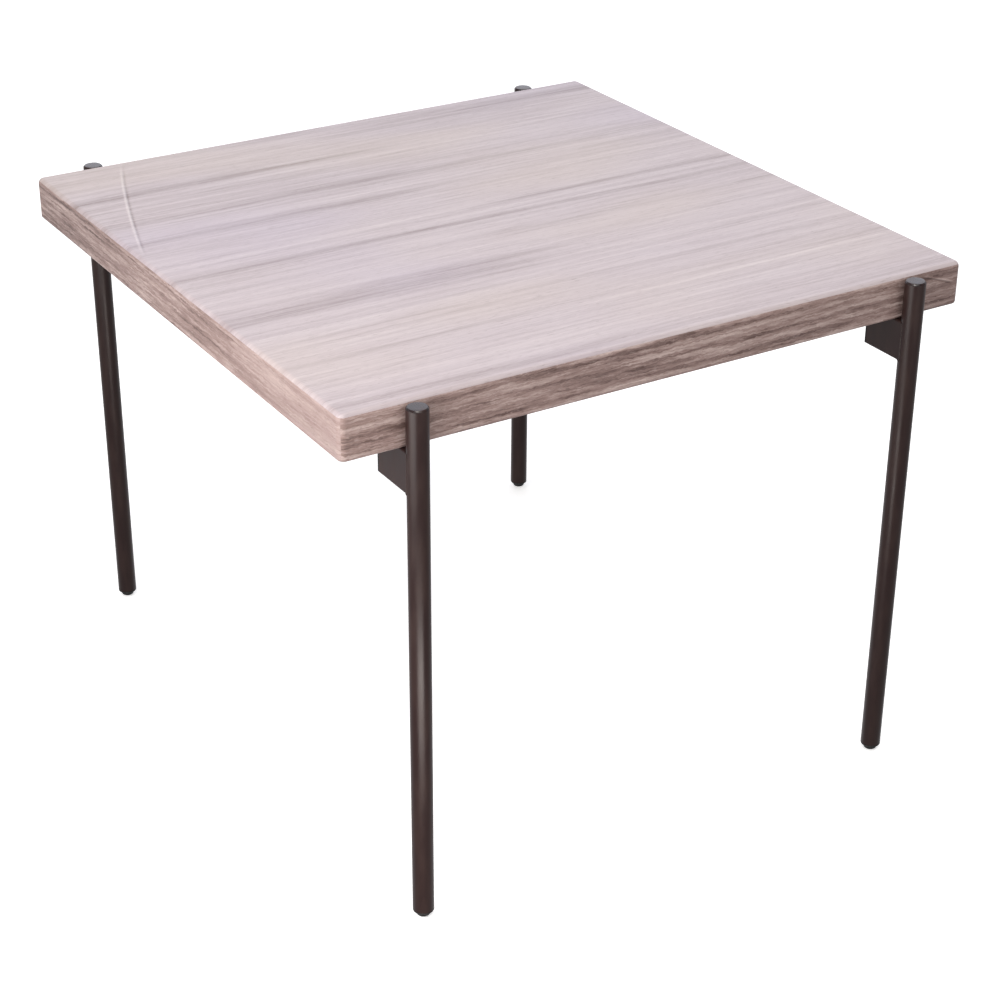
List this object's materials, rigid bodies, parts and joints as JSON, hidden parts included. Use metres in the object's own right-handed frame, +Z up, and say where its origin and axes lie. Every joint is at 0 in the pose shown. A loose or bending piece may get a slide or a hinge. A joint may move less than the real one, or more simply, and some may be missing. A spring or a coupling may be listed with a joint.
{
  "type": "square side table",
  "caption": "Low square table: a wood-grain foil-wrapped board top held between round tube legs by short box brackets, with screw-down levelling glides under the legs.",
  "frame": {"origin": "middle of the footprint, on the floor under the pads of the glides", "axes": "+Z up; +X to the right along the front edge and along the wood grain; -Y towards the front, so the legs stand outside the edges that face -Y and +Y"},
  "size_m": [0.6, 0.638, 0.47],
  "materials": {
    "oak_decor_foil": "satin printed foil, pale washed oak with straight grain along X",
    "fibreboard": "raw pressed fibreboard",
    "backing_sheet": "matt balancing paper",
    "leg_paint": "satin brown-black powder coat on steel",
    "black_nylon": "moulded black nylon",
    "zinc_steel": "bright zinc plate"
  },
  "bodies": {
    "table": {"top_core": "fibreboard", "top_foil": "oak_decor_foil", "underside_sheet": "backing_sheet", "leg_tube_front_left": "leg_paint", "leg_cap_front_left": "leg_paint", "leg_bracket_front_left": "leg_paint", "bracket_plug_front_left": "black_nylon", "foot_insert_front_left": "black_nylon", "board_insert_front_left_outer": "zinc_steel", "bracket_screw_front_left_outer": "zinc_steel", "board_insert_front_left_inner": "zinc_steel", "bracket_screw_front_left_inner": "zinc_steel", "leg_tube_front_right": "leg_paint", "leg_cap_front_right": "leg_paint", "leg_bracket_front_right": "leg_paint", "bracket_plug_front_right": "black_nylon", "foot_insert_front_right": "black_nylon", "board_insert_front_right_outer": "zinc_steel", "bracket_screw_front_right_outer": "zinc_steel", "board_insert_front_right_inner": "zinc_steel", "bracket_screw_front_right_inner": "zinc_steel", "leg_tube_back_left": "leg_paint", "leg_cap_back_left": "leg_paint", "leg_bracket_back_left": "leg_paint", "bracket_plug_back_left": "black_nylon", "foot_insert_back_left": "black_nylon", "board_insert_back_left_outer": "zinc_steel", "bracket_screw_back_left_outer": "zinc_steel", "board_insert_back_left_inner": "zinc_steel", "bracket_screw_back_left_inner": "zinc_steel", "leg_tube_back_right": "leg_paint", "leg_cap_back_right": "leg_paint", "leg_bracket_back_right": "leg_paint", "bracket_plug_back_right": "black_nylon", "foot_insert_back_right": "black_nylon", "board_insert_back_right_outer": "zinc_steel", "bracket_screw_back_right_outer": "zinc_steel", "board_insert_back_right_inner": "zinc_steel", "bracket_screw_back_right_inner": "zinc_steel"},
    "glide_front_left": {"glide_stud_front_left": "zinc_steel", "glide_pad_front_left": "black_nylon"},
    "glide_front_right": {"glide_stud_front_right": "zinc_steel", "glide_pad_front_right": "black_nylon"},
    "glide_back_left": {"glide_stud_back_left": "zinc_steel", "glide_pad_back_left": "black_nylon"},
    "glide_back_right": {"glide_stud_back_right": "zinc_steel", "glide_pad_back_right": "black_nylon"}
  },
  "joints": [
    {"name": "glide_screw_front_left", "type": "slide", "parent": "table", "child": "glide_front_left", "axis": [0, 0, -1], "range_m": [0, 0.01]},
    {"name": "glide_screw_front_right", "type": "slide", "parent": "table", "child": "glide_front_right", "axis": [0, 0, -1], "range_m": [0, 0.01]},
    {"name": "glide_screw_back_left", "type": "slide", "parent": "table", "child": "glide_back_left", "axis": [0, 0, -1], "range_m": [0, 0.01]},
    {"name": "glide_screw_back_right", "type": "slide", "parent": "table", "child": "glide_back_right", "axis": [0, 0, -1], "range_m": [0, 0.01]}
  ]
}
